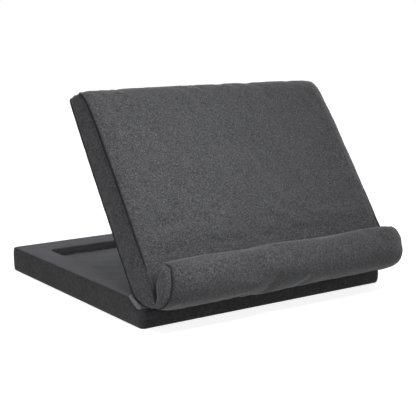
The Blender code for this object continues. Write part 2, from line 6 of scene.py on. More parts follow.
import bmesh
import bpy
import numpy as np
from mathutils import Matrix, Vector


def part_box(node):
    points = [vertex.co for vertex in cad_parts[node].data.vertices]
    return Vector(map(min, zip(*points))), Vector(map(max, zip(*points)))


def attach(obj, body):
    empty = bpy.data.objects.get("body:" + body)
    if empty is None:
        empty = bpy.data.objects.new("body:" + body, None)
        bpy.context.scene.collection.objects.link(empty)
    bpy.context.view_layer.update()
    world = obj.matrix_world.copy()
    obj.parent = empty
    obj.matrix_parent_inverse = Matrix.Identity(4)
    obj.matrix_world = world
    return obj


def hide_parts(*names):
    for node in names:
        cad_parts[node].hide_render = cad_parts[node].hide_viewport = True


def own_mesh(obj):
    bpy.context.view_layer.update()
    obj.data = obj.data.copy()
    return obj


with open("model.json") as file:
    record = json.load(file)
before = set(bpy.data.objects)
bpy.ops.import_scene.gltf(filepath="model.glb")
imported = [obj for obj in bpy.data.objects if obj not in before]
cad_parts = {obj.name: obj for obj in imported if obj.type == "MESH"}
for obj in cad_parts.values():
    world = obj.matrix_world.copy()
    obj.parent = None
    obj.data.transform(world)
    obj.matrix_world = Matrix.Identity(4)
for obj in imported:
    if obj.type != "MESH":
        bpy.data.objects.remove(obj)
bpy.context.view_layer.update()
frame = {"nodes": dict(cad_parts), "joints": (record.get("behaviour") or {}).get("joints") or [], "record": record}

# The hinge: how far the back leans at rest, and where the axis lies in the back
TILT = -math.radians(frame["joints"][0]["range_deg"][0])
AXIS = Vector(frame["joints"][0]["pos_m"])
AXIS_RISE = 0.010
AXIS_DEPTH = 0.0198

# The back's soft form: its domed ends, its rounded corners and edges, and its crowned panels
HALF_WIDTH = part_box("back_side_strip")[1].x
SIDE_DOME = 0.0010
LIP_END_DOME = 0.0050
TIP_PULL = 0.0052
FACE_CORNER = 0.0055
REAR_CORNER = 0.0025
EDGE_REACH = 0.011
LIP_EDGE_REACH = 0.019
EDGE_POWER = 0.85
SIDE_POWER = 0.55
RIGHT_END_EXTRA = 0.35
FACE_CROWN = 0.0008
REAR_CROWN = 0.0016
FINE_SPACING = 0.0022
COARSE_SPACING = 0.0055

# The most that a dome or an edge's drop may take of the back's thickness there
DOME_SHARE = 0.22
FACE_DROP_SHARE = 0.25
REAR_DROP_SHARE = 0.30

# The tablet's slot: its crease, how its walls are pressed together near both ends, and the
# painted shade in the small pocket that this leaves
SLOT_MIDDLE = 0.0359
SLOT_CREASE = 0.0346
SLOT_CREASE_LEAN = 0.36
SLOT_END_REACH = 0.010
SLOT_END_GAP = 0.0004
BACK_PRESS_TOP = 0.004
BACK_PRESS_FADE = 0.0050
LIP_PRESS_TOP = 0.0005
LIP_PRESS_FADE = 0.0025
POCKET_REACH = 0.022
POCKET_SHADE = 0.75
POCKET_FADE = 0.009
BACK_POCKET_TOP = 0.017
LIP_POCKET_TOP = 0.005

# The seams: a groove, its dark line of painted shade, the roll of cloth beside it and the puckers that it draws
SEAM_DEPTH = 0.0010
SEAM_WIDTH = 0.0008
SEAM_EASE = 0.8
SEAM_LINE = 0.0011
LINE_SHADE = 1.5
LINE_SHADE_LIMIT = 0.97
ROLL_PLACE = 0.0022
ROLL_WIDTH = 0.0012
ROLL_HEIGHT = 0.00022
PUCKER_REACH = 0.007
PUCKER_HEIGHT = 0.00030

# Loose cloth: wide ripples on the panels and fine creases on the side strip at the heel
RIPPLE_REACH = 0.01
RIPPLE_HEIGHT = 0.00022
CREASE_MARGIN = 0.0045
CREASE_REACH = 0.003
CREASE_SPACING = 0.0034
CREASE_BEND = 2.2
CREASE_HEIGHT = 0.00022

# The simulated swelling: the air inside, the cloth's ease, and how firmly it is held where it is free
PRESSURE = 4.0
CLOTH_EASE = 0.006
CLOTH_STEPS = 20
PUFF_CAP = 0.0018
FREE_REACH = 0.010
HOLD_FACE = 0.25
HOLD_LIP = 0.15

# Room for the tilt: the rear may swell over the tray, and stays this near its line elsewhere
CLEAR = 0.0001
TRAY_SWELL = 0.0030
TRAY_HALF_WIDTH = 0.104
TRAY_FROM = 0.046
TRAY_TO = 0.200
TRAY_FADE = 0.07
TRAY_END_FADE = 0.05

# The slits for the hinge arms, whose inner faces stand this far from the middle
SLIT_X = 0.092
SLIT_THICK = 0.002
SLIT_SPARE = 0.0006
SLIT_RADIUS = 0.009
SLIT_REACH = 0.070
SLIT_SWEEP = 76.0
SLIT_STEPS = 12
SLIT_ROUND_STEPS = 8

# The stations where the heel and the lip start, and how many rings at both ends fade out
HEEL = 13
LIP = 16
END_RINGS = 3.0

# At each of the back's stations: how far both edges drop, and how far the rear line swells out,
# in millimetres
FACE_DROP = (
    0.0, 0.6, 1.3, 2.0, 3.0, 3.8, 4.5, 4.7, 4.7, 4.3, 3.2, 0.9, -1.2, -1.2,
    0.0, 0.2, 0.3, 0.3, 0.3, 0.3, 0.3, 0.3, 0.4, 0.8, 1.8, 2.6, 2.6)
REAR_DROP = (
    0.0, 0.4, 0.7, 0.8, 0.8, 0.8, 0.8, 0.8, 0.8, 0.8, 0.8, 0.8, 0.7, 0.6,
    0.5, 0.5, 1.0, 4.0, 6.8, 7.4, 7.4, 7.0, 6.2, 5.6, 5.0, 4.2, 2.8)
SWELL = (
    0.0, 0.1, 0.3, 0.6, 0.9, 1.0, 1.0, 1.0, 1.0, 0.9, 0.3, 0.1, 0.0, 0.0,
    0.0, 0.0, 0.2, 3.0, 4.5, 4.2, 3.0, 1.8, 1.2, 1.2, 1.4, 1.5, 1.5)

# The base's soft form
BASE_HALF_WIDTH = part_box("base_side_band")[1].x
BASE_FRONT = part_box("base_side_band")[0].y
BASE_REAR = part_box("base_side_band")[1].y
BASE_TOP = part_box("base_top_panel")[1].z
TRAY_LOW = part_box("tray_floor_panel")[0]
TRAY_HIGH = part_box("tray_floor_panel")[1]
CLOTH = 0.0012
BASE_CORNER = 0.005
TRAY_CORNER = 0.006
LEAST_CORNER = 0.0008
RING_SPACING = 0.003
CORNER_STEPS = 5
BOTTOM_ROUND = 0.0025
TOP_EDGE = 0.0014
TOP_EDGE_RISE = 0.75
SIDE_THICK = 0.9
SIDE_SWELL = 0.0007
SIDE_LOOSE = 0.0007
RIM_START = 0.85
RIM_EDGE = 0.0012
RIM_SWELL = 0.0003
RIM_RIPPLE = 0.30
SEAT_REACH = 0.0195
SEAT_DROP = 0.0085

# The tray's lining: the gap under the rim, the floor's crown, and its tucked and rippled cloth
WALL_GAP = 0.0014
WALL_BULGE = 0.0002
WALL_FOOT = 0.0004
FLOOR_INSET = 0.0003
FLOOR_CROWN = 0.0008
FLOOR_TUCK = 0.0006
FLOOR_TUCK_REACH = 0.03
FLOOR_RIPPLE = 0.0004
FLOOR_RIPPLE_REACH = 0.1
FLOOR_STEPS = 24

# The heel's fold: where it lies behind the base's front, how far it passes its sides, and its curl
FOLD_FRONT = 0.0034
FOLD_REAR = 0.0180
FOLD_POINTS = 19
FOLD_PROUD = 0.0008
FOLD_ROUND = 0.003
FOLD_GAP = 0.0002
FOLD_SINK = 0.0002
FOLD_LEAST = 0.0006
FOLD_CURL = 0.0014
CURL_INSET = 0.0002
CURL_REACH = 0.0008

# Points nearer to each other than this become one
WELD = 2e-5

# The colour of painted shade: the dark lines in the seams' grooves and in the slot's pocket
PAINTED_SHADE_COLOUR = (0.006, 0.006, 0.007)


# Camera, light and floor

CAMERA_PLACE = (-0.559553, -0.827561, 0.257054)
CAMERA_TARGET = (-0.04455, -0.09162, 0.08741)
LENS = 90.18
SENSOR_WIDTH = 36.0
NEAREST = 0.01
FLOOR_REACH = 60.0
FLOOR_GAP = 0.0003
FLOOR_TONE = 0.55
FLOOR_LIFT = 0.83
SOFT_LIGHT = 0.33

# Each lamp's name, place, target, power and size
LAMPS = (
    ("key_lamp", (-0.42, -0.62, 2.1), (0.0, -0.05, 0.08), 18.0, 0.6),
    ("front_lamp", (-1.2, -1.5, 0.6), (0.0, 0.0, 0.1), 9.0, 1.0),
    ("rear_lamp", (1.5, 1.1, 1.3), (0.0, 0.0, 0.08), 6.0, 1.4),
    ("lip_lamp", (-0.10, -0.31, 0.34), (-0.05, -0.15, 0.06), 2.1, 0.10),
)


def look_at(thing, target):
    direction = Vector(target) - thing.location
    thing.rotation_euler = direction.to_track_quat("-Z", "Y").to_euler()


def make_camera():
    camera = bpy.data.objects.new("camera", bpy.data.cameras.new("camera"))
    bpy.context.scene.collection.objects.link(camera)
    camera.location = CAMERA_PLACE
    look_at(camera, CAMERA_TARGET)
    camera.data.lens = LENS
    camera.data.sensor_width = SENSOR_WIDTH
    camera.data.clip_start = NEAREST
    camera.data.clip_end = 2 * FLOOR_REACH
    bpy.context.scene.camera = camera


def make_lamp(name, place, target, power, size):
    lamp = bpy.data.lights.new(name, "AREA")
    lamp.shape = "DISK"
    lamp.size = size
    lamp.energy = power
    holder = bpy.data.objects.new(name, lamp)
    bpy.context.scene.collection.objects.link(holder)
    holder.location = place
    look_at(holder, target)


def seen_directly(tree):
    """A 0 or 1 value: 1 for what the camera, a reflection or glass shows."""
    path = tree.nodes.new("ShaderNodeLightPath")
    first = tree.nodes.new("ShaderNodeMath")
    first.operation = "MAXIMUM"
    second = tree.nodes.new("ShaderNodeMath")
    second.operation = "MAXIMUM"
    tree.links.new(path.outputs["Is Camera Ray"], first.inputs[0])
    tree.links.new(path.outputs["Is Glossy Ray"], first.inputs[1])
    tree.links.new(first.outputs[0], second.inputs[0])
    tree.links.new(path.outputs["Is Transmission Ray"], second.inputs[1])
    return second.outputs[0]


def make_world(strength):
    """Soft light all round from a studio that is itself seen as plain white."""
    world = bpy.data.worlds.new("studio")
    world.use_nodes = True
    tree = world.node_tree
    tree.nodes.clear()
    output = tree.nodes.new("ShaderNodeOutputWorld")
    mix = tree.nodes.new("ShaderNodeMixShader")
    soft = tree.nodes.new("ShaderNodeBackground")
    soft.inputs["Strength"].default_value = strength
    white = tree.nodes.new("ShaderNodeBackground")
    white.inputs["Strength"].default_value = 1.0
    for background in (soft, white):
        background.inputs["Color"].default_value = (1.0, 1.0, 1.0, 1.0)
    tree.links.new(seen_directly(tree), mix.inputs[0])
    tree.links.new(soft.outputs[0], mix.inputs[1])
    tree.links.new(white.outputs[0], mix.inputs[2])
    tree.links.new(mix.outputs[0], output.inputs[0])
    bpy.context.scene.world = world


def make_floor():
    """A pale floor that is lifted almost to white where it is seen, and keeps the soft shadow."""
    mesh = bpy.data.meshes.new("floor")
    reach = FLOOR_REACH
    mesh.from_pydata(
        [(-reach, -reach, 0), (reach, -reach, 0), (reach, reach, 0), (-reach, reach, 0)],
        [], [(0, 1, 2, 3)])
    floor = bpy.data.objects.new("floor", mesh)
    floor.location.z = -FLOOR_GAP
    bpy.context.scene.collection.objects.link(floor)
    material = bpy.data.materials.new("pale_floor")
    material.use_nodes = True
    tree = material.node_tree
    tree.nodes.clear()
    output = tree.nodes.new("ShaderNodeOutputMaterial")
    matte = tree.nodes.new("ShaderNodeBsdfDiffuse")
    matte.inputs["Color"].default_value = (FLOOR_TONE, FLOOR_TONE, FLOOR_TONE, 1.0)
    lift = tree.nodes.new("ShaderNodeEmission")
    lift.inputs["Color"].default_value = (1.0, 1.0, 1.0, 1.0)
    strength = tree.nodes.new("ShaderNodeMath")
    strength.operation = "MULTIPLY"
    strength.inputs[1].default_value = FLOOR_LIFT
    add = tree.nodes.new("ShaderNodeAddShader")
    tree.links.new(seen_directly(tree), strength.inputs[0])
    tree.links.new(strength.outputs[0], lift.inputs["Strength"])
    tree.links.new(matte.outputs[0], add.inputs[0])
    tree.links.new(lift.outputs[0], add.inputs[1])
    tree.links.new(add.outputs[0], output.inputs[0])
    floor.data.materials.append(material)


# Materials

def new_material(name):
    material = bpy.data.materials.new(name)
    material.use_nodes = True
    tree = material.node_tree
    return material, tree, tree.nodes["Principled BSDF"]


def noise(tree, scale, detail=2.0, stretch=(1.0, 1.0, 1.0), distortion=0.0):
    """Noise in the object's own coordinates, with its scale in features for each metre."""
    place = tree.nodes.new("ShaderNodeTexCoord")
    mapping = tree.nodes.new("ShaderNodeMapping")
    mapping.inputs["Scale"].default_value = stretch
    texture = tree.nodes.new("ShaderNodeTexNoise")
    texture.inputs["Scale"].default_value = scale
    texture.inputs["Detail"].default_value = detail
    texture.inputs["Distortion"].default_value = distortion
    tree.links.new(place.outputs["Object"], mapping.inputs["Vector"])
    tree.links.new(mapping.outputs[0], texture.inputs["Vector"])
    return texture.outputs["Fac"]


def ramp(tree, value, stops):
    """A colour from a value, by stops of (place, colour)."""
    node = tree.nodes.new("ShaderNodeValToRGB")
    tree.links.new(value, node.inputs[0])
    elements = node.color_ramp.elements
    while len(elements) < len(stops):
        elements.new(0.5)
    for element, (place, colour) in zip(elements, stops):
        element.position = place
        element.color = (*colour, 1.0)
    return node.outputs[0]


def mix_colour(tree, kind, factor, one, two):
    """Two colours mixed: each value is a socket or a constant."""
    node = tree.nodes.new("ShaderNodeMix")
    node.data_type = "RGBA"
    node.blend_type = kind
    for socket, value in ((node.inputs[0], factor), (node.inputs[6], one), (node.inputs[7], two)):
        if isinstance(value, bpy.types.NodeSocket):
            tree.links.new(value, socket)
        elif isinstance(value, tuple):
            socket.default_value = (*value, 1.0)
        else:
            socket.default_value = value
    return node.outputs[2]


def bump(tree, shader, layers):
    """Stacked bumps from (height, strength, distance in metres)."""
    below = None
    for height, strength, distance in layers:
        node = tree.nodes.new("ShaderNodeBump")
        node.inputs["Strength"].default_value = strength
        node.inputs["Distance"].default_value = distance
        tree.links.new(height, node.inputs["Height"])
        if below is not None:
            tree.links.new(below, node.inputs["Normal"])
        below = node.outputs[0]
    tree.links.new(below, shader.inputs["Normal"])


def attribute(tree, name):
    node = tree.nodes.new("ShaderNodeAttribute")
    node.attribute_name = name
    return node.outputs["Fac"]


def set_inputs(shader, values):
    for name, value in values.items():
        shader.inputs[name].default_value = value


def grey(level):
    return (level, level, level)


def make_fleece(name, level, sheen):
    """Brushed heather cloth, its tones scaled by a level, with so much sheen."""
    material, tree, shader = new_material(name)
    fibres = noise(tree, 1500.0, 3.0, distortion=0.8)
    clumps = noise(tree, 520.0, 2.0)
    cloudy = noise(tree, 34.0, 2.0)
    tones = [(0.36, 0.030), (0.47, 0.060), (0.57, 0.090), (0.66, 0.180)]
    heather = ramp(tree, fibres, [
        (place, (tone * level, tone * level, tone * level * 1.06)) for place, tone in tones])
    shade = ramp(tree, clumps, [(0.36, grey(0.58)), (0.64, grey(1.0))])
    wide = ramp(tree, cloudy, [(0.3, grey(0.90)), (0.7, grey(1.0))])
    colour = mix_colour(tree, "MULTIPLY", 1.0, heather, shade)
    colour = mix_colour(tree, "MULTIPLY", 1.0, colour, wide)
    # Painted shade from the seam attribute: dark lines along the seams and in the slot's pocket
    colour = mix_colour(tree, "MIX", attribute(tree, "seam"), colour, PAINTED_SHADE_COLOUR)
    tree.links.new(colour, shader.inputs["Base Color"])
    set_inputs(shader, {
        "Roughness": 0.95, "Specular IOR Level": 0.2, "Sheen Weight": sheen, "Sheen Roughness": 0.45})
    bump(tree, shader, [(clumps, 0.35, 0.0005), (fibres, 0.5, 0.0003)])
    return material


def make_smooth_cloth(name, dark, light, sheen, roughness=0.8, mottle=0.06):
    """Plain cloth between two tones, with so large a share of mottling."""
    material, tree, shader = new_material(name)
    threads = noise(tree, 1300.0, 2.0)
    cloudy = noise(tree, 45.0, 3.0)
    streaks = noise(tree, 60.0, 2.0, (1.0, 4.0, 4.0), 0.5)
    specks = noise(tree, 330.0, 3.0)
    colour = ramp(tree, threads, [(0.3, dark), (0.7, light)])
    wide = ramp(tree, cloudy, [(0.3, grey(0.84)), (0.7, grey(1.0))])
    colour = mix_colour(tree, "MULTIPLY", 1.0, colour, wide)
    fine = ramp(tree, specks, [(0.35, grey(1 - mottle)), (0.65, grey(1.0))])
    colour = mix_colour(tree, "MULTIPLY", 1.0, colour, fine)
    tree.links.new(colour, shader.inputs["Base Color"])
    set_inputs(shader, {
        "Roughness": roughness, "Specular IOR Level": 0.3, "Sheen Weight": sheen, "Sheen Roughness": 0.4})
    bump(tree, shader, [(streaks, 0.25, 0.0010), (cloudy, 0.3, 0.0008), (threads, 0.35, 0.0002)])
    return material


def make_grained(name, grain, stops, relief, inputs):
    """One noise that colours a surface by its stops and gives it its relief.

    grain holds the noise's scale, detail, stretch and distortion, and relief the bump's
    strength and distance.
    """
    material, tree, shader = new_material(name)
    texture = noise(tree, *grain)
    tree.links.new(ramp(tree, texture, stops), shader.inputs["Base Color"])
    set_inputs(shader, inputs)
    bump(tree, shader, [(texture, *relief)])
    return material


def make_painted_seam_shade():
    """Painted shade: the dark line in the groove of a sewn seam, sunk between two panels."""
    return make_grained(
        "painted_seam_shade_line", (1400.0,), [(0.35, PAINTED_SHADE_COLOUR), (0.65, (0.014, 0.014, 0.016))],
        (0.4, 0.0002), {"Roughness": 0.95, "Specular IOR Level": 0.05})


def make_foam():
    return make_grained(
        "open_cell_foam", (900.0, 3.0), [(0.35, (0.10, 0.10, 0.105)), (0.62, (0.24, 0.24, 0.245))],
        (0.8, 0.0006), {"Roughness": 0.95})


def make_board():
    return make_grained(
        "pressed_board", (240.0, 4.0, (1.0, 2.5, 1.0), 1.5),
        [(0.3, (0.17, 0.11, 0.06)), (0.7, (0.36, 0.26, 0.16))], (0.3, 0.0003), {"Roughness": 0.8})


def make_zinc():
    return make_grained(
        "zinc_plated_steel", (500.0, 2.0, (1.0, 8.0, 1.0)),
        [(0.3, (0.46, 0.47, 0.49)), (0.7, (0.60, 0.61, 0.63))],
        (0.15, 0.0001), {"Metallic": 1.0, "Roughness": 0.34})


def make_nylon():
    return make_grained(
        "natural_nylon", (300.0,), [(0.3, (0.66, 0.64, 0.58)), (0.7, (0.74, 0.72, 0.66))],
        (0.1, 0.0001), {"Roughness": 0.45})


# Grids: surfaces held as arrays of points, shaped (along, around, 3)

def catmull_rom(points, counts):
    """A smooth curve through the points, with so many steps for each span, and its last point."""
    points = np.asarray(points, float)
    ends = np.vstack([points[:1], points, points[-1:]])
    found = []
    for i, count in enumerate(counts):
        p, q, r, s = ends[i:i + 4]
        u = (np.arange(count) / count)[:, None]
        found.append(0.5 * (2 * q + (r - p) * u + (2 * p - 5 * q + 4 * r - s) * u ** 2
                            + (3 * q - p - 3 * r + s) * u ** 3))
    return np.vstack(found + [points[-1:]])


def back_stations():
    """Matching points on the back's rear and front lines, from the top to the tip of the lip.

    Each pair is ((up, forward) on the rear, under or outer side, the same on the facing side),
    in millimetres from the back's lower rear corner. Places along the back are counted in these
    stations further down: 13 is the heel's corner, 14 to 16 its underside, 18 the lip's lowest
    part and 26 the lip's tip.
    """
    return [
        ((187.6, 8.0), (187.6, 8.0)),
        ((187.7, 3.6), (187.0, 12.2)),
        ((186.7, 1.4), (185.5, 16.8)),
        ((182.6, 0.5), (182.8, 21.0)),
        ((176.0, 0.2), (178.2, 25.1)),
        ((167.0, 0.0), (171.0, 28.6)),
        ((158.0, 0.0), (162.0, 30.6)),
        ((143.0, 0.0), (146.0, 32.5)),
        ((117.0, 0.0), (118.0, 34.0)),
        ((84.0, 0.0), (84.2, 35.0)),
        ((42.0, 0.0), (39.9, 35.0)),
        ((22.0, 0.0), (20.3, 33.4)),
        ((5.0, 0.4), (7.0, 32.2)),
        ((-1.4, 1.5), (-4.1, 31.8)),
        ((-8.0, 5.0), (-9.4, 31.8)),
        ((-13.4, 10.0), (-13.5, 32.0)),
        ((-19.3, 19.5), (-16.8, 33.4)),
        ((-22.6, 29.0), (-17.8, 34.8)),
        ((-23.4, 38.0), (-18.0, 36.2)),
        ((-23.0, 46.0), (-17.6, 37.6)),
        ((-20.6, 53.8), (-16.0, 39.0)),
        ((-16.0, 60.2), (-12.5, 39.8)),
        ((-9.9, 63.4), (-8.5, 40.0)),
        ((-4.0, 63.9), (-4.2, 40.1)),
        ((0.8, 62.6), (1.2, 42.0)),
        ((4.4, 59.2), (4.8, 45.6)),
        ((6.2, 52.0), (6.2, 52.0)),
    ]


def normals_of(line):
    """Unit normals of a flat line of points, on the left of its direction."""
    along = np.gradient(line, axis=0)
    along /= np.linalg.norm(along, axis=1)[:, None]
    return np.stack([-along[:, 1], along[:, 0]], axis=1)


def spread(middle_count, near):
    """Places from 0 to 1 across a panel, packed closely within the share near of each seam."""
    edge = np.linspace(0.0, 1.0, 7)[:-1] ** 1.4 * near
    middle = np.linspace(near, 1.0 - near, middle_count)
    return np.concatenate([edge, middle, 1.0 - edge[::-1]])


def smooth_step(value):
    """From 0 to 1 with level ends."""
    value = np.clip(value, 0.0, 1.0)
    return value * value * (3 - 2 * value)


def close_slot_ends(points, seam_x, weight):
    """Presses the slot's walls together near both ends, where the foam behind them fills it."""
    near_end = smooth_step(1 - (seam_x[:, None] - np.abs(points[..., 0])) / SLOT_END_REACH)
    up = points[..., 1]
    on_back = points[..., 2] < SLOT_MIDDLE
    deep = np.where(
        on_back, smooth_step((BACK_PRESS_TOP - up) / BACK_PRESS_FADE),
        smooth_step((LIP_PRESS_TOP - up) / LIP_PRESS_FADE))
    side = np.where(on_back, -1.0, 1.0)
    target = SLOT_CREASE + SLOT_CREASE_LEAN * np.minimum(up, 0.0) + side * SLOT_END_GAP / 2
    share = near_end * deep * weight[:, None]
    points[..., 2] += (target - points[..., 2]) * share


def back_grid(spacing, across, side):
    """The back as a grid: one closed ring of points for each step from its top to the lip's tip.

    A ring runs over the facing side from left to right, down the right side panel, over the
    rear side from right to left and up the left side panel. across and side are the places
    of its points on a facing side and on a side panel, from seam to seam. The second value
    holds the four seams' places in a ring, the third each ring's place among the stations, and
    the last two the rear line and its outward directions before the cover swells.
    """
    stations = np.array(back_stations()) / 1000.0
    rear = stations[:, 0]
    face = stations[:, 1]
    lengths = np.maximum(
        np.linalg.norm(np.diff(rear, axis=0), axis=1), np.linalg.norm(np.diff(face, axis=0), axis=1))
    counts = np.maximum(1, np.round(lengths / spacing)).astype(int)
    rear_line = catmull_rom(rear, counts)
    face_line = catmull_rom(face, counts)
    rear_out = normals_of(rear_line)
    face_out = -normals_of(face_line)
    keys = np.concatenate([[0], np.cumsum(counts)])
    every = np.arange(len(keys))
    rows = np.interp(np.arange(len(rear_line)), keys, every)

    # Shares along the back: of the lip's form, of the crowns, off the base's seat and in the slot
    lip = smooth_step(np.interp(rows, [13, 18], [0.0, 1.0]))
    fade = np.interp(rows, [0, 4, 25, 26], [0.0, 1.0, 1.0, 0.3])
    off_seat = 1 - np.interp(rows, [11, 12, 15, 17], [0.0, 1.0, 1.0, 0.0])
    in_slot = np.interp(rows, [12.5, 14, 23, 24.5], [0.0, 1.0, 1.0, 0.0])
    base_line = rear_line.copy()
    swell = np.interp(rows, every, SWELL) / 1000.0
    face_drop = np.interp(rows, every, FACE_DROP) / 1000.0
    rear_drop = np.interp(rows, every, REAR_DROP) / 1000.0
    rear_line = rear_line + rear_out * swell[:, None]

    thick = np.linalg.norm(rear_line - face_line, axis=1)
    dome = np.minimum((1 - lip) * SIDE_DOME + lip * LIP_END_DOME, DOME_SHARE * thick)
    from_top = rear_line[0, 0] - rear_line[:, 0]

    def seam_line(corner):
        down = np.where(rows < HEEL, np.maximum(corner - from_top, 0.0), 0.0)
        return HALF_WIDTH - dome - (corner - np.sqrt(np.maximum(corner ** 2 - down ** 2, 0.0)))

    tip = TIP_PULL * np.interp(rows, [19.5, 22, 24, 25, 26], [0.0, 0.12, 0.40, 0.66, 1.0])
    face_seam = seam_line(FACE_CORNER) - tip
    rear_seam = np.where(rows < HEEL, seam_line(REAR_CORNER), face_seam)
    rear_seam[0] = face_seam[0]
    reach = (1 - lip) * EDGE_REACH + lip * LIP_EDGE_REACH
    face_drop = np.minimum(face_drop, FACE_DROP_SHARE * thick)
    rear_drop = np.minimum(rear_drop, REAR_DROP_SHARE * thick)

    def panel(line, outwards, seam_x, crown, places, drops):
        """A crowned panel whose edges curve down to its seams, more so at the lip's right end."""
        x = (2 * places[None, :] - 1) * seam_x[:, None]
        near_edge = np.clip((np.abs(x) - (seam_x - reach)[:, None]) / reach[:, None], 0.0, 1.0)
        down = drops[:, None] * (1 - np.sqrt(np.maximum(1 - near_edge ** 2, 0.0))) ** EDGE_POWER
        down *= 1 + RIGHT_END_EXTRA * lip[:, None] * (x > 0)
        up = crown[:, None] * (1 - (x / HALF_WIDTH) ** 4)
        points = line[:, None, :] + outwards[:, None, :] * (up - down)[:, :, None]
        return np.concatenate([x[:, :, None], points], axis=2)

    front = panel(face_line, face_out, face_seam, fade * (1 - lip) * FACE_CROWN, across, face_drop)
    close_slot_ends(front, face_seam, in_slot)
    back = panel(
        rear_line, rear_out, rear_seam, fade * off_seat * (1 - lip) * REAR_CROWN, across[::-1], rear_drop)

    inner = side[1:-1]

    def side_panel(start, end, sign):
        """A domed panel between two seams; the lip's right end is rounder than its left one."""
        power = SIDE_POWER + RIGHT_END_EXTRA * lip * (sign > 0)
        swelling = np.sin(np.pi * inner)[None, :] ** power[:, None]
        mix = start[:, None, :] * (1 - inner)[None, :, None] + end[:, None, :] * inner[None, :, None]
        mix[:, :, 0] += sign * dome[:, None] * swelling
        return mix

    right = side_panel(front[:, -1], back[:, 0], 1.0)
    left = side_panel(back[:, -1], front[:, 0], -1.0)
    grid = np.concatenate([front, right, back, left], axis=1)
    seams = [0, len(across) - 1, len(across) + len(inner), 2 * len(across) + len(inner) - 1]
    return grid, seams, rows, base_line, rear_out


def to_world(points):
    """From (across, up the back, forward from its rear face) to the stand's own coordinates."""
    up = points[..., 1] - AXIS_RISE
    forward = points[..., 2] - AXIS_DEPTH
    return np.stack([
        points[..., 0] + AXIS.x,
        AXIS.y + up * math.cos(TILT) - forward * math.sin(TILT),
        AXIS.z + up * math.sin(TILT) + forward * math.cos(TILT),
    ], axis=-1)


def to_back(points):
    """The other way round: from the stand's own coordinates to (across, up, forward)."""
    forward = points[..., 1] - AXIS.y
    up = points[..., 2] - AXIS.z
    return np.stack([
        points[..., 0] - AXIS.x,
        forward * math.cos(TILT) + up * math.sin(TILT) + AXIS_RISE,
        -forward * math.sin(TILT) + up * math.cos(TILT) + AXIS_DEPTH,
    ], axis=-1)


def kept_clear(points, rows, base_line, outwards):
    """Holds the rear and the heel off the base's rim at every tilt; over the tray they may swell."""
    middle = smooth_step((TRAY_HALF_WIDTH - np.abs(points[..., 0])) / TRAY_FADE)
    high = smooth_step((points[..., 1] - TRAY_FROM) / TRAY_FADE)
    high = high * smooth_step((TRAY_TO - points[..., 1]) / TRAY_END_FADE)
    limit = CLEAR + TRAY_SWELL * middle * high
    lip_is_free = np.interp(rows, [16.3, 17.0], [0.0, 0.02])
    limit = limit + lip_is_free[:, None]
    beyond = ((points[..., 1:] - base_line[:, None, :]) * outwards[:, None, :]).sum(axis=2) - limit
    points = points.copy()
    points[..., 1:] -= np.maximum(beyond, 0.0)[..., None] * outwards[:, None, :]
    return points


def grid_normals(grid):
    """The outward direction at each point of a grid of rings."""
    along = np.gradient(grid, axis=0)
    around = np.roll(grid, -1, axis=1) - np.roll(grid, 1, axis=1)
    normal = np.cross(around, along)
    size = np.linalg.norm(normal, axis=2)
    size[size < 1e-12] = 1.0
    return normal / size[:, :, None]


def add_rings(maker, rings):
    return [[maker.verts.new(point) for point in ring] for ring in rings]


def join_rings(maker, rings):
    """Faces between each ring of vertices and the next."""
    count = len(rings[0])
    for low, high in zip(rings, rings[1:]):
        for k in range(count):
            n = (k + 1) % count
            maker.faces.new((low[k], high[k], high[n], low[n]))


def object_from(maker, name):
    """An object with the finished mesh, its faces turned outwards."""
    bmesh.ops.recalc_face_normals(maker, faces=maker.faces)
    mesh = bpy.data.meshes.new(name)
    maker.to_mesh(mesh)
    maker.free()
    made = bpy.data.objects.new(name, mesh)
    bpy.context.scene.collection.objects.link(made)
    return made


def mesh_from_grid(name, grid):
    """A closed mesh from rings whose first and last have no width, and the grid place of each vertex."""
    count = grid.shape[1]
    maker = bmesh.new()
    place = maker.verts.layers.int.new("place")
    verts = add_rings(maker, grid)
    for i, ring in enumerate(verts):
        for k, vert in enumerate(ring):
            vert[place] = i * count + k
    join_rings(maker, verts)
    bmesh.ops.remove_doubles(maker, verts=maker.verts, dist=WELD)
    places = np.array([vert[place] for vert in maker.verts])
    made = object_from(maker, name)
    made.data.attributes.remove(made.data.attributes["place"])
    made.data.shade_smooth()
    return made, places


def seam_field(grid, seams):
    """The distance of each point from the nearest seam, along its ring."""
    steps = np.linalg.norm(np.roll(grid, -1, axis=1) - grid, axis=2)
    place = np.concatenate([np.zeros((len(grid), 1)), np.cumsum(steps, axis=1)], axis=1)
    whole = place[:, -1:]
    place = place[:, :-1]
    near = np.full(place.shape, 1e9)
    for seam in seams:
        away = np.abs(place - place[:, seam:seam + 1])
        near = np.minimum(near, np.minimum(away, whole - away))
    return near


def points_of(mesh):
    """The mesh's vertices as an array."""
    found = np.empty(len(mesh.vertices) * 3)
    mesh.vertices.foreach_get("co", found)
    return found.reshape(-1, 3)


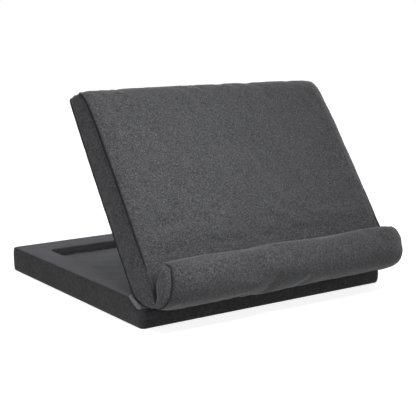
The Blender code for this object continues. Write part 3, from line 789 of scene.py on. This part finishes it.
def puffed(grid, hold):
    """How far air pressure inside the cover moves each point of the grid: a cloth simulation.

    hold is 1 where the cloth is sewn or pressed against something, and less where it is free.
    """
    rows, count = grid.shape[:2]
    trial, places = mesh_from_grid("trial", grid)
    group = trial.vertex_groups.new(name="hold")
    flat_hold = hold.reshape(-1)
    for vertex, place in enumerate(places):
        group.add([vertex], float(flat_hold[place]), "REPLACE")
    cloth = trial.modifiers.new("cloth", "CLOTH")
    settings = cloth.settings
    settings.quality = 6
    settings.mass = 0.2
    settings.tension_stiffness = 12.0
    settings.compression_stiffness = 12.0
    settings.shear_stiffness = 5.0
    settings.bending_stiffness = 2.0
    settings.use_pressure = True
    settings.uniform_pressure_force = PRESSURE
    settings.shrink_min = -CLOTH_EASE
    settings.effector_weights.gravity = 0.0
    settings.vertex_group_mass = "hold"
    settings.pin_stiffness = 1.0
    scene = bpy.context.scene
    for frame_number in range(1, CLOTH_STEPS + 1):
        scene.frame_set(frame_number)
    view = bpy.context.evaluated_depsgraph_get()
    moved = points_of(trial.evaluated_get(view).data) - points_of(trial.data)
    scene.frame_set(1)
    size = np.linalg.norm(moved, axis=1)
    share = PUFF_CAP * np.tanh(size / PUFF_CAP) / np.maximum(size, 1e-9)
    moved = moved * share[:, None]
    field = np.zeros((rows * count, 3))
    field[places] = moved
    bpy.data.objects.remove(trial)
    return field.reshape(rows, count, 3)


def weights_between(fine, coarse):
    """Smooth interpolation weights from values at the coarse places to the fine ones."""
    span = np.clip(np.searchsorted(coarse, fine, side="right") - 1, 0, len(coarse) - 2)
    u = np.clip((fine - coarse[span]) / (coarse[span + 1] - coarse[span]), 0.0, 1.0)
    table = np.zeros((len(fine), len(coarse)))
    shares = (
        0.5 * (-u + 2 * u ** 2 - u ** 3), 0.5 * (2 - 5 * u ** 2 + 3 * u ** 3),
        0.5 * (u + 4 * u ** 2 - 3 * u ** 3), 0.5 * (-u ** 2 + u ** 3))
    for offset, share in zip((-1, 0, 1, 2), shares):
        column = np.clip(span + offset, 0, len(coarse) - 1)
        np.add.at(table, (np.arange(len(fine)), column), share)
    return table


def ring_places(across, side):
    """The place of each point round a ring: 0 to 1 on the facing side, 1 to 2 on the right, and so on."""
    inner = side[1:-1]
    return np.concatenate([across, 1 + inner, 2 + across, 3 + inner])


def puff_field(across, side, rows):
    """The simulated swelling of the back's cover, for each point of its fine grid."""
    coarse_across = spread(middle_count=44, near=0.04)
    coarse_side = np.linspace(0.0, 1.0, 7)
    flat, seams, coarse_rows, _, _ = back_grid(COARSE_SPACING, coarse_across, coarse_side)
    grid = to_world(flat)
    free = np.clip(seam_field(grid, seams) / FREE_REACH, 0.0, 1.0)
    backed = np.where(coarse_rows > LIP, HOLD_LIP, HOLD_FACE)[:, None]
    hold = 1 - free * (1 - backed)
    pressed = np.interp(coarse_rows, [10.5, 12, 16, 17], [0.0, 1.0, 1.0, 0.0])[:, None]
    hold = np.maximum(hold, pressed)
    hold[0] = hold[-1] = 1.0
    field = puffed(grid, hold)
    closed = np.concatenate([ring_places(coarse_across, coarse_side), [4.0]])
    field = np.concatenate([field, field[:, :1]], axis=1)
    down = weights_between(rows, coarse_rows)
    round_it = weights_between(ring_places(across, side), closed)
    return np.einsum("ij,jkc,lk->ilc", down, field, round_it)


def waves(points, lengths, seed):
    """A smooth uneven wave from -1 to 1: a few sine waves in seeded directions."""
    maker = np.random.default_rng(seed)
    total = np.zeros(points.shape[:-1])
    for length in lengths:
        direction = maker.normal(size=3)
        direction /= np.linalg.norm(direction)
        total += np.sin(points @ direction * (math.tau / length) + maker.uniform(0, math.tau))
    return total / len(lengths)


def cover_relief(grid, flat, near, rows, thick):
    """How far its seams and its loose cloth lift or sink each point of the cover."""
    lip_right = smooth_step((rows - LIP) / 2)[:, None] * (flat[..., 0] > 0)
    groove = np.exp(-(near / SEAM_WIDTH) ** 2) * thick * (1 - SEAM_EASE * lip_right)
    roll = np.exp(-((near - ROLL_PLACE) / ROLL_WIDTH) ** 2) * thick
    pucker = np.exp(-(near / PUCKER_REACH)) * waves(grid, (0.011, 0.013, 0.017, 0.023), seed=4) * thick
    ripple = np.clip(near / RIPPLE_REACH, 0, 1) * waves(grid, (0.030, 0.041, 0.055, 0.070), seed=11) * thick
    heel = np.interp(rows, [11.5, 13, 19, 22], [0.0, 1.0, 1.0, 0.0])[:, None]
    on_side = (np.abs(flat[..., 0]) > HALF_WIDTH - CREASE_MARGIN) * np.clip(near / CREASE_REACH, 0, 1)
    bend = CREASE_BEND * waves(grid, (0.012, 0.017), seed=7)
    creases = np.sin(flat[..., 2] * (math.tau / CREASE_SPACING) + bend)
    return (
        -SEAM_DEPTH * groove + ROLL_HEIGHT * roll + PUCKER_HEIGHT * pucker + RIPPLE_HEIGHT * ripple
        + CREASE_HEIGHT * creases * heel * on_side)


def seam_shade(flat, near, rows, thick, facing):
    """How much painted shade each point of the cover takes, from 0 to 1: along the seams' lines and in the slot's
    pocket.
    """
    in_slot = np.interp(rows, [11.3, 12.6, 24.0, 24.7], [0.0, 1.0, 1.0, 0.0])[:, None]
    # Painted shade along each seam's line, but not on the slot's facing walls
    line = np.minimum(LINE_SHADE * np.exp(-(near / SEAM_LINE) ** 2), LINE_SHADE_LIMIT)
    line = line * thick * (1 - in_slot * facing)
    # Painted shade in the small pocket that the slot leaves near both ends, darkest deep in the slot
    near_end = smooth_step(1 - (HALF_WIDTH - np.abs(flat[..., 0])) / POCKET_REACH)
    mouth = np.where(flat[..., 2] < SLOT_MIDDLE, BACK_POCKET_TOP, LIP_POCKET_TOP)
    pocket = near_end * smooth_step((mouth - flat[..., 1]) / POCKET_FADE) * in_slot * facing
    return np.maximum(line, POCKET_SHADE * pocket)


def cloth_of_faces(mesh, places, rows, seams, count):
    """Each face's material: 0 on the front and rear cloth, 1 on the side strip, whose fleece is painted lighter, 2
    along a seam, whose cloth is painted shade.

    Only the seams that show as dark lines get this painted shade: those beside the face, above the slot,
    and the outer ones of the heel and the lip.
    """
    cloths = []
    for polygon in mesh.polygons:
        corners = places[list(polygon.vertices)]
        columns = corners % count
        on_right = (columns >= seams[1]).all() and (columns <= seams[2]).all()
        on_side = on_right or ((columns >= seams[3]) | (columns == 0)).all()
        row = rows[corners.min() // count]
        sewn = []
        if 1.0 < row < 12.3 and not on_side:
            sewn = seams[:2]
        elif 13.0 < row < 25.5 and on_side:
            sewn = seams[2:]
        cloth = 1 if on_side else 0
        for seam in sewn:
            if np.abs((columns - seam + count // 2) % count - count // 2).max() <= 1:
                cloth = 2
        cloths.append(cloth)
    return cloths


def make_back(front_cloth, gusset_fleece_painted_lighter, seam_shade_cloth):
    """The whole back as one cushion: its cover panels over its foam."""
    across = spread(middle_count=104, near=0.03)
    side = spread(middle_count=14, near=0.14)
    flat, seams, rows, base_line, rear_out = back_grid(FINE_SPACING, across, side)
    grid = to_world(flat)
    grid = grid + puff_field(across, side, rows)
    near = seam_field(grid, seams)
    number = np.arange(len(grid))
    thick = np.clip(np.minimum(number, number[::-1]) / END_RINGS, 0, 1)[:, None]
    change = cover_relief(grid, flat, near, rows, thick)
    grid = grid + grid_normals(grid) * change[..., None]
    grid = to_world(kept_clear(to_back(grid), rows, base_line, rear_out))

    cushion, places = mesh_from_grid("back_cushion", grid)
    mesh = cushion.data
    count = grid.shape[1]
    column = np.arange(count)
    facing = (column < seams[1] + 2) | (column > count - 3)
    # Painted shade, kept in the seam attribute: the seams' dark lines and the slot's pocket
    dark = seam_shade(flat, near, rows, thick, facing)
    mesh.attributes.new("seam", "FLOAT", "POINT").data.foreach_set("value", dark.reshape(-1)[places])
    # The side strips' cloth is a lighter copy of the fleece: painted light
    for cloth in (front_cloth, gusset_fleece_painted_lighter, seam_shade_cloth):
        mesh.materials.append(cloth)
    mesh.polygons.foreach_set("material_index", cloth_of_faces(mesh, places, rows, seams, count))
    cut_slits(cushion)
    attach(cushion, "back")
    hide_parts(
        "back_front_panel", "back_rear_panel", "back_side_strip",
        "back_foam_front", "back_foam_rear", "lip_foam_roll")


def slit_outline():
    """The room that a hinge arm takes in the back over all its angles, as (up, forward) of its axis."""
    first = -math.pi / 2
    last = first - math.radians(SLIT_SWEEP)
    outline = [(SLIT_RADIUS, 0.0), (SLIT_RADIUS, -SLIT_REACH)]
    for step in range(1, SLIT_STEPS):
        angle = first + (last - first) * step / SLIT_STEPS
        outline.append((SLIT_REACH * math.cos(angle), SLIT_REACH * math.sin(angle)))
    side = last - math.pi / 2
    outline.append((
        SLIT_REACH * math.cos(last) + SLIT_RADIUS * math.cos(side),
        SLIT_REACH * math.sin(last) + SLIT_RADIUS * math.sin(side)))
    end = math.remainder(side, math.tau)
    for step in range(SLIT_ROUND_STEPS):
        angle = end * (1 - step / SLIT_ROUND_STEPS)
        outline.append((SLIT_RADIUS * math.cos(angle), SLIT_RADIUS * math.sin(angle)))
    return np.array(outline)


def cut_slits(cushion):
    """Cuts the narrow room of both hinge arms out of the cushion."""
    outline = slit_outline()
    for sign in (-1, 1):
        maker = bmesh.new()
        sides = []
        for x in sorted((sign * (SLIT_X - SLIT_SPARE), sign * (SLIT_X + SLIT_THICK + SLIT_SPARE))):
            sides.append(to_world(np.column_stack([
                np.full(len(outline), x), outline[:, 0] + AXIS_RISE, outline[:, 1] + AXIS_DEPTH])))
        verts = add_rings(maker, sides)
        join_rings(maker, verts)
        maker.faces.new(verts[0])
        maker.faces.new(verts[1])
        tool = object_from(maker, "slit_tool")
        cut = cushion.modifiers.new("slit", "BOOLEAN")
        cut.operation = "DIFFERENCE"
        cut.object = tool
        view = bpy.context.evaluated_depsgraph_get()
        result = bpy.data.meshes.new_from_object(cushion.evaluated_get(view))
        cushion.modifiers.clear()
        old = cushion.data
        cushion.data = result
        bpy.data.meshes.remove(old)
        bpy.data.objects.remove(tool)
    cushion.data.name = "back_cushion"


# Base covers

def arc(degrees, count):
    """The sine and cosine of so many angles from 0, so many degrees apart."""
    angles = [math.radians(degrees * step) for step in range(count)]
    return [(math.sin(angle), math.cos(angle)) for angle in angles]


def rounded_ring(low_x, high_x, low_y, high_y, radius):
    """Points round a rectangle with round corners: as many on each side for any inset of it."""
    across = round(2 * BASE_HALF_WIDTH / RING_SPACING)
    deep = round((BASE_REAR - BASE_FRONT) / RING_SPACING)
    corners = (
        (high_x - radius, low_y + radius, -90, deep),
        (high_x - radius, high_y - radius, 0, across),
        (low_x + radius, high_y - radius, 90, deep),
        (low_x + radius, low_y + radius, 180, across),
    )
    points = []
    for number, (x, y, start, along) in enumerate(corners):
        for step in range(CORNER_STEPS):
            angle = math.radians(start + 90 * step / (CORNER_STEPS - 1))
            points.append((x + radius * math.cos(angle), y + radius * math.sin(angle)))
        following = corners[(number + 1) % 4]
        angle = math.radians(start + 90)
        here = points[-1]
        there = (following[0] + radius * math.cos(angle), following[1] + radius * math.sin(angle))
        for step in range(1, along):
            share = step / along
            points.append(tuple(a + (b - a) * share for a, b in zip(here, there)))
    return np.array(points)


def base_ring(inward):
    """The base's own outline, inset by so much."""
    return rounded_ring(
        -BASE_HALF_WIDTH + inward, BASE_HALF_WIDTH - inward, BASE_FRONT + inward, BASE_REAR - inward,
        max(BASE_CORNER - inward, LEAST_CORNER))


def tray_ring(inward):
    """The tray's own outline, which lies one cloth inside the box of its floor panel."""
    edge = CLOTH + inward
    return rounded_ring(
        TRAY_LOW.x + edge, TRAY_HIGH.x - edge, TRAY_LOW.y + edge, TRAY_HIGH.y - edge,
        max(TRAY_CORNER - inward, LEAST_CORNER))


def seat_drop(forward):
    """How far the back's foam presses the base's top down, at each place behind its front edge."""
    share = np.clip((forward - BASE_FRONT) / SEAT_REACH, 0.0, 1.0)
    return SEAT_DROP * np.cos(share * np.pi / 2)


def sunk(points):
    """Lowers the base's top along its front edge, where the back's foam presses into it."""
    height = np.clip((points[..., 2] - BOTTOM_ROUND) / (BASE_TOP - BOTTOM_ROUND), 0.0, 1.0)
    lowered = points.copy()
    lowered[..., 2] -= seat_drop(points[..., 1]) * height
    return lowered


def shell_of(name, outer, inner, material, replaced):
    """A closed cover from rings on its outer side and, back again, rings on its inner side."""
    maker = bmesh.new()
    verts = add_rings(maker, outer + inner[::-1])
    join_rings(maker, verts + verts[:1])
    finish_cover(name, maker, material, replaced)


def finish_cover(name, maker, material, replaced):
    bmesh.ops.remove_doubles(maker, verts=maker.verts, dist=WELD)
    made = object_from(maker, name)
    made.data.shade_smooth()
    made.data.set_sharp_from_angle(angle=math.radians(60))
    made.data.materials.append(material)
    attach(made, "base")
    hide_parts(*replaced)


def raised(ring, height):
    """A flat ring at so much height, let down into the seat at the base's front."""
    return sunk(np.column_stack([ring, np.full(len(ring), height)]))


def rippled(ring, amount, seed):
    """Lifts and lowers a ring's points a little."""
    lifted = ring.copy()
    lifted[:, 2] += amount * waves(ring, (0.022, 0.031, 0.045, 0.070), seed)
    return lifted


def wavy(ring, amount, seed):
    """Pushes a ring's points in and out a little, as loose cloth over foam does."""
    along = np.roll(ring, -1, axis=0) - np.roll(ring, 1, axis=0)
    outwards = np.column_stack([along[:, 1], -along[:, 0], np.zeros(len(ring))])
    outwards /= np.maximum(np.linalg.norm(outwards, axis=1), 1e-9)[:, None]
    push = waves(ring, (0.028, 0.037, 0.052, 0.080), seed)
    return ring + outwards * (amount * push)[:, None]


def make_base_side(cloth):
    """The side band: a round lower edge, a slightly swollen wall and the turn to the rim's seam."""
    low = BOTTOM_ROUND
    high = BASE_TOP - TOP_EDGE
    outer = [(BOTTOM_ROUND * (1 - sine), BOTTOM_ROUND * (1 - cosine)) for sine, cosine in arc(15, 7)]
    for step in range(1, 9):
        share = step / 9
        outer.append((-SIDE_SWELL * math.sin(math.pi * share) ** 0.7, low + (high - low) * share))
    outer += [
        (TOP_EDGE * (1 - cosine), high + TOP_EDGE * sine * TOP_EDGE_RISE) for sine, cosine in arc(18, 5)]
    inner = [(inward + CLOTH * SIDE_THICK, height) for inward, height in outer[4:-2]]
    inner = [(CLOTH + BOTTOM_ROUND, CLOTH)] + inner
    outer_rings = []
    for inward, height in outer:
        loose = SIDE_LOOSE * math.sin(math.pi * min(max(height / high, 0.0), 1.0))
        outer_rings.append(wavy(raised(base_ring(inward), height), loose, seed=21))
    shell_of(
        "base_side_cloth", outer_rings, [raised(base_ring(inward), height) for inward, height in inner],
        cloth, ["base_side_band"])


def make_base_rim(cloth):
    """The top panel, from its seam on the side band to the tray's edge."""
    edge = RIM_EDGE
    outer = [
        (base_ring(TOP_EDGE * RIM_START + edge * (1 - cosine)), -edge * (1 - sine))
        for sine, cosine in arc(22.5, 5)]
    first = outer[-1][0]
    last = tray_ring(-edge)
    for step in range(1, 12):
        share = step / 12
        outer.append((first + (last - first) * share, RIM_SWELL * math.sin(math.pi * share) ** 0.6))
    outer += [(tray_ring(-edge * (1 - sine)), -edge * (1 - cosine)) for sine, cosine in arc(22.5, 5)]
    outer_rings = []
    for ring, height in outer:
        outer_rings.append(
            rippled(raised(ring, BASE_TOP + height), RIM_RIPPLE * max(height, 0.0), seed=33))
    inner_rings = [raised(ring, BASE_TOP + (height - CLOTH)) for ring, height in outer[3:-3]]
    shell_of("base_rim_cloth", outer_rings, inner_rings, cloth, ["base_top_panel"])


def make_heel_fold(fleece):
    """The fold of cloth that joins the back's heel to the base, pressed flat between the two.

    It fills the room between the heel's line and the base's sunk seat, its section rounded in
    front and behind, and its ends rounded past the base's sides, where they curl up a little.
    """
    line = catmull_rom(np.array([pair[0] for pair in back_stations()[12:18]]) / 1000.0, [8] * 5)
    heel = to_world(np.column_stack([np.zeros(len(line)), line]))
    forward = np.linspace(BASE_FRONT + FOLD_FRONT, BASE_FRONT + FOLD_REAR, FOLD_POINTS)
    order = np.argsort(heel[:, 1])
    above = np.interp(forward, heel[order, 1], heel[order, 2]) - FOLD_GAP
    below = np.minimum(BASE_TOP - seat_drop(forward) - FOLD_SINK, above - FOLD_LEAST)
    middle = (above + below) / 2
    half = (above - below) / 2
    number = np.arange(FOLD_POINTS)
    rounding = np.sqrt(np.clip(np.minimum(number, number[::-1] + 1) / 3.0, 0.04, 1.0))
    ends = BASE_HALF_WIDTH + FOLD_PROUD
    steps = np.concatenate([
        -ends + FOLD_ROUND * (1 - np.cos(np.linspace(0, np.pi / 2, 7))),
        np.linspace(-ends + 2 * FOLD_ROUND, ends - 2 * FOLD_ROUND, 90),
        ends - FOLD_ROUND * (1 - np.cos(np.linspace(np.pi / 2, 0, 7)))])
    rings = []
    for place in steps:
        near_end = np.clip((ends - abs(place)) / FOLD_ROUND, 0.0, 1.0)
        shrink = 0.02 + 0.98 * math.sqrt(1 - (1 - near_end) ** 2)
        past_start = abs(place) - HALF_WIDTH + CURL_INSET
        curl = FOLD_CURL * np.clip(past_start / CURL_REACH, 0.0, 1.0)
        across = np.full(FOLD_POINTS, place)
        top = np.column_stack([across, forward, middle + (half + curl) * rounding * shrink])
        low = np.column_stack([across, forward, middle - half * rounding * shrink])
        rings.append(np.concatenate([top, low[::-1]]))
    maker = bmesh.new()
    verts = add_rings(maker, rings)
    join_rings(maker, verts)
    maker.faces.new(verts[0])
    maker.faces.new(verts[-1])
    fold = object_from(maker, "heel_fold_cloth")
    fold.data.shade_smooth()
    # The fold's fleece is a lighter copy with more sheen: a painted highlight
    fold.data.materials.append(fleece)
    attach(fold, "base")
    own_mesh(fold)


def make_tray(lining):
    """The tray's wall, and its floor: a crowned sheet whose edge is tucked in under the wall."""
    floor_top = TRAY_HIGH.z
    top = BASE_TOP - WALL_GAP
    wall = [
        (0.0, top), (0.0, (top * 2 + floor_top) / 3),
        (WALL_BULGE, (top + floor_top * 2) / 3), (0.0, floor_top + WALL_FOOT)]
    shell_of(
        "tray_wall_cloth",
        [raised(tray_ring(inward), height) for inward, height in wall],
        [raised(tray_ring(inward - CLOTH), height) for inward, height in wall],
        lining, ["tray_wall_band"])

    edge = tray_ring(FLOOR_INSET)
    middle = edge.mean(axis=0)
    rings = [np.column_stack([edge, np.full(len(edge), floor_top - CLOTH)])]
    for step in range(FLOOR_STEPS):
        share = step / FLOOR_STEPS
        height = floor_top + FLOOR_CROWN * math.sin(math.pi * min(share, 0.5))
        height -= FLOOR_TUCK * (1 - min(share / FLOOR_TUCK_REACH, 1.0))
        flat = np.column_stack([middle + (edge - middle) * (1 - share), np.full(len(edge), height)])
        rings.append(rippled(flat, FLOOR_RIPPLE * min(share / FLOOR_RIPPLE_REACH, 1.0), seed=45))
    maker = bmesh.new()
    verts = add_rings(maker, rings)
    join_rings(maker, verts)
    maker.faces.new(verts[-1])
    maker.faces.new(verts[0])
    finish_cover("tray_floor_cloth", maker, lining, ["tray_floor_panel"])


# The stand in its studio

bpy.context.scene.view_settings.view_transform = "Standard"
make_camera()
make_world(SOFT_LIGHT)
for lamp_values in LAMPS:
    make_lamp(*lamp_values)
make_floor()

front_fleece = make_fleece("charcoal_fleece", 0.48, 0.13)
# The side strips take a lighter copy of the same fleece, with less sheen: painted light, for the light that the
# sides don't get
side_fleece_painted_lighter = make_fleece("charcoal_fleece_gusset_painted_lighter", 0.76, 0.08)
# The heel's fold takes a much lighter copy of the fleece with more sheen: a painted highlight
fold_fleece_painted_highlight = make_fleece("charcoal_fleece_fold_painted_highlight", 1.35, 0.30)
side_cloth = make_smooth_cloth(
    "charcoal_side_cloth", (0.010, 0.010, 0.012), (0.027, 0.027, 0.029), 0.0, mottle=0.7)
rim_cloth = make_smooth_cloth("charcoal_rim_cloth", (0.054, 0.052, 0.062), (0.081, 0.079, 0.089), 0.04)
under_cloth = make_smooth_cloth(
    "charcoal_underside_cloth", (0.030, 0.030, 0.032), (0.050, 0.050, 0.054), 0.10)
lining = make_smooth_cloth("tray_lining", (0.052, 0.053, 0.058), (0.073, 0.074, 0.081), 0.04, 0.75)
# The seams' own cloth is painted shade: a dark line in the groove of each seam
make_back(front_fleece, side_fleece_painted_lighter, make_painted_seam_shade())
make_base_side(side_cloth)
make_base_rim(rim_cloth)
make_tray(lining)
make_heel_fold(fold_fleece_painted_highlight)

# Every solid keeps its mesh and takes the material of its slot
by_slot = {
    "foam": make_foam(), "board": make_board(), "steel": make_zinc(), "nylon": make_nylon(),
    "cover_cloth": under_cloth, "side_cloth": side_cloth, "rim_cloth": rim_cloth, "tray_lining": lining,
}
for piece in frame["record"]["subparts"]:
    mesh = frame["nodes"][piece["node"]].data
    mesh.materials.clear()
    mesh.materials.append(by_slot[piece["material_slot"]])
